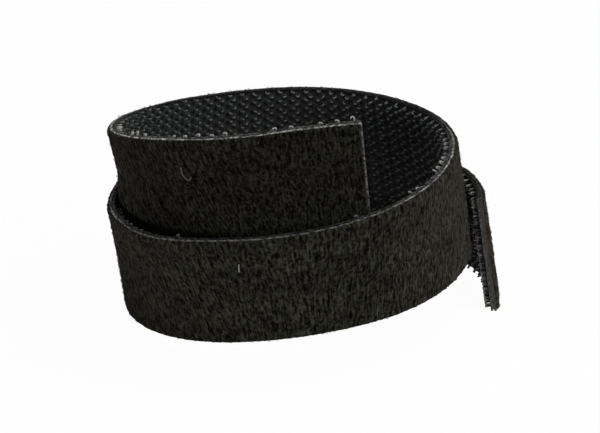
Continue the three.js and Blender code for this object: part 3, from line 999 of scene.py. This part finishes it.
# Painted highlight in part: hooks along the pale edges and near the tail's cut turn whitish, partly from
# scuffs.
hook_scuffed_and_lit = np.clip(1 - rows_in / PALE_HOOK_ROWS, 0, 1) * np.interp(hook_rubbed_and_lit, PALE_HOOKS_FROM, (0, 1))
at_cut = hook_along > TAPE_LENGTH - PALE_HOOK_REACH
hook_scuffed_and_lit[at_cut] = draw.uniform(0, TAIL_SCUFFED_AND_LIT, at_cut.sum())
print("hooks", int(hook_kept.sum()), "splayed", int(splayed.sum()))

# %% Hooks
HOOK_RADIUS, HOOK_CROOK, HOOK_SIDES = 0.14, 0.25, 5
HOOK_CURL = np.radians([0, 50, 95, 140, 185])
HOOK_TAPER = np.array([1.15, 1, 1, 1, 0.95, 0.7])
CREST_HEIGHT = 0.7  # mm above the ground from which a hook is as pale as its crook; below, painted shade darkens it
NUDGE = 0.1  # mm, to find the direction up the width


def hooks(stretch):
    start, end = STRETCHES[stretch]
    chosen = hook_kept & (hook_along >= start) & (hook_along < end)
    foot, side, heading, scale, lean, yaw, scuffed_and_lit = columns(
        chosen, hook_along, hook_across, hook_heading, hook_scale, hook_lean, hook_yaw, hook_scuffed_and_lit)
    stem = HOOK_TIPS - ROOT_FACE - HOOK_RADIUS - HOOK_CROOK
    forward = np.concatenate([[0], HOOK_CROOK * (1 - np.cos(HOOK_CURL))])
    height = np.concatenate([[-SUNK], stem + HOOK_CROOK * np.sin(HOOK_CURL)]) * scale
    along = foot + heading * forward * np.cos(yaw)
    across = side + forward * np.sin(yaw) + height * lean
    depth = -ROOT_FACE - height
    paths = on_tape(along, across, depth)
    sideways = unit(on_tape(along, across + NUDGE, depth) - paths)
    points, faces = tubes(paths, HOOK_RADIUS * MM * HOOK_TAPER, HOOK_SIDES, sideways)
    flat = each_corner(np.stack([along, across, depth], axis=-1), HOOK_SIDES)
    crook = each_corner(np.broadcast_to(np.clip(height / CREST_HEIGHT, 0, 1), along.shape), HOOK_SIDES)
    # Whitish crooks: partly scuffs, partly painted highlight.
    edge = each_corner(np.broadcast_to(scuffed_and_lit, along.shape), HOOK_SIDES)
    piece = tape_mesh(f"{stretch}_hook_rows", HOOKS, points, faces, tape=flat, crook=crook, edge=edge)
    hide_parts(f"{stretch}_hooks")
    return fasten(piece, stretch)


hooked = {stretch: hooks(stretch) for stretch in STRETCHES}
print("hook meshes", [len(piece.data.polygons) for piece in hooked.values()], "faces")

# %% [markdown]
# Two bits of lint cling to the pile: a curled fibre on the lead and a short straight one on the
# front of the lower turn. They are small, but they are what shows that the black face is soft.
# Curve objects with a bevel would be quicker, but meshes lie on the pile.

# %% Lint
LINT_SIDES = 5
LINT_FADE = dict(cells=(0.7, 0.7, 0.7), detail=2.0)
DULLEST = 0.25  # share of a fibre's brightness where it is most faded
# Millimetres along the tape and up from its middle.
CURL = [(28.2, 5.2), (28.55, 4.4), (28.62, 3.6), (28.36, 2.98), (27.77, 2.7), (27.1, 3.3)]
STRAIGHT = [(193.88, 5.8), (194.02, 5.1), (194.18, 4.35)]


def lint_finish(name, pale):
    material, blank, shader = finish(name, {"Roughness": 0.8, "Specular IOR Level": 0.2})
    dull, bright = (colour(grey, grey, 0.9 * grey) for grey in (DULLEST * pale, pale))
    plug(grain(tape_place(blank), **LINT_FADE).mix(dull, bright), shader, "Base Color")
    return material


def lint(name, stretch, places, radius, pale):
    along, across = np.array(places).T
    depth = LOOP_FACE + pile_height(along, across) + radius
    path = on_tape(along, across, depth)
    outward = unit(on_tape(along, across, depth + 1) - path)
    points, faces = tubes(path[None], radius * MM, LINT_SIDES, outward[None])
    flat = each_corner(np.stack([along, across, depth], axis=-1)[None], LINT_SIDES)
    piece = tape_mesh(name, lint_finish(f"{name}_fibre", pale), points, faces, tape=flat)
    laid_on[stretch].append(fasten(piece, stretch))


lint("curled_lint", "lead", CURL, radius=0.08, pale=0.2)
lint("straight_lint", "coil", STRAIGHT, radius=0.1, pale=0.47)
print("lint", len(CURL), "and", len(STRAIGHT), "points")

# %% [markdown]
# Each ground is a sheet of cloth; the size each stretch has when the tape is laid flat is worked
# out here.

for stretch, (start, end) in STRETCHES.items():
    flat_size = (TAPE_WIDTH * MM, (end - start) * MM)
print("sheets", 2 * len(STRETCHES))

# %% [markdown]
# The stage is a plain pale floor. For the camera, and for reflections, floor and sky are mostly
# plain white, as in a cut-out catalogue picture, and the floor still keeps some of the shadow.
# More light could burn the floor to white as well, but it would burn the tape with it.

# %% Floor and sky
FLOOR_SIZE = 6.0
FLOOR_GREY = 0.9
SHOWN_WHITE = 0.97  # share of plain white in what the camera sees of the floor
SKY_STRENGTH = 0.08
WHITE = colour(1, 1, 1)


def seen_directly(blank):
    """1 for the camera's own view, and for what it sees of the stage in something shiny or clear."""
    kinds = ("Is Camera Ray", "Is Glossy Ray", "Is Transmission Ray")
    view, shine, glass = (blank.node("ShaderNodeLightPath", output=kind) for kind in kinds)
    seen = view + shine + glass
    return seen.math("MINIMUM", seen, 1.0)


def studio_floor():
    grey = colour(FLOOR_GREY, FLOOR_GREY, FLOOR_GREY)
    fixed = {"Base Color": grey, "Roughness": 1.0, "Specular IOR Level": 0.0}
    material, blank, shader = finish("pale_floor", fixed)
    white = blank.node("ShaderNodeEmission", {}, {"Color": WHITE, "Strength": 1.0})
    plain = Wire(blank.tree, shader.outputs[0])
    shares = {0: seen_directly(blank) * SHOWN_WHITE, 1: plain, 2: white}
    plug(blank.node("ShaderNodeMixShader", {}, shares), blank.tree.nodes["Material Output"], "Surface")
    mesh = bpy.data.meshes.new("floor")
    half = FLOOR_SIZE / 2
    corners = [(-half, -half, 0), (half, -half, 0), (half, half, 0), (-half, half, 0)]
    mesh.from_pydata(corners, [], [(0, 1, 2, 3)])
    mesh.materials.append(material)
    floor = bpy.data.objects.new("floor", mesh)
    bpy.context.scene.collection.objects.link(floor)


def studio_sky():
    world = bpy.data.worlds.new("studio_sky")
    world.use_nodes = True
    background = world.node_tree.nodes["Background"]
    background.inputs["Color"].default_value = WHITE
    plug(seen_directly(Wire(world.node_tree)).above(SKY_STRENGTH), background, "Strength")
    bpy.context.scene.world = world


studio_floor()
studio_sky()
print("floor", FLOOR_SIZE, "m")

# %% [markdown]
# Three soft lamps light the tape: one overhead, one in front on the right, and a small low one on
# the left that grazes the pile and the edges there. A single sun would be simpler, but black cloth
# shows its shape only by what shines along it, so each side needs its own light.

# %% Lamps
def softbox(name, place, size, power):
    lamp = bpy.data.lights.new(name, "AREA")
    lamp.shape, lamp.size, lamp.energy = "SQUARE", size, power
    box = bpy.data.objects.new(name, lamp)
    box.location = Vector(place)
    box.rotation_mode = "QUATERNION"
    box.rotation_quaternion = (target - box.location).to_track_quat("-Z", "Y")
    bpy.context.scene.collection.objects.link(box)


softbox("overhead_softbox", place=(0.3, -0.05, 0.7), size=0.5, power=4.2)
softbox("front_softbox", place=(0.6, -0.7, 0.45), size=0.5, power=3.0)
softbox("left_softbox", place=(-0.8, -0.5, 0.1), size=0.16, power=2.4)
bpy.context.scene.view_settings.view_transform = "Standard"
print("lamps", [light.name for light in bpy.data.lights])
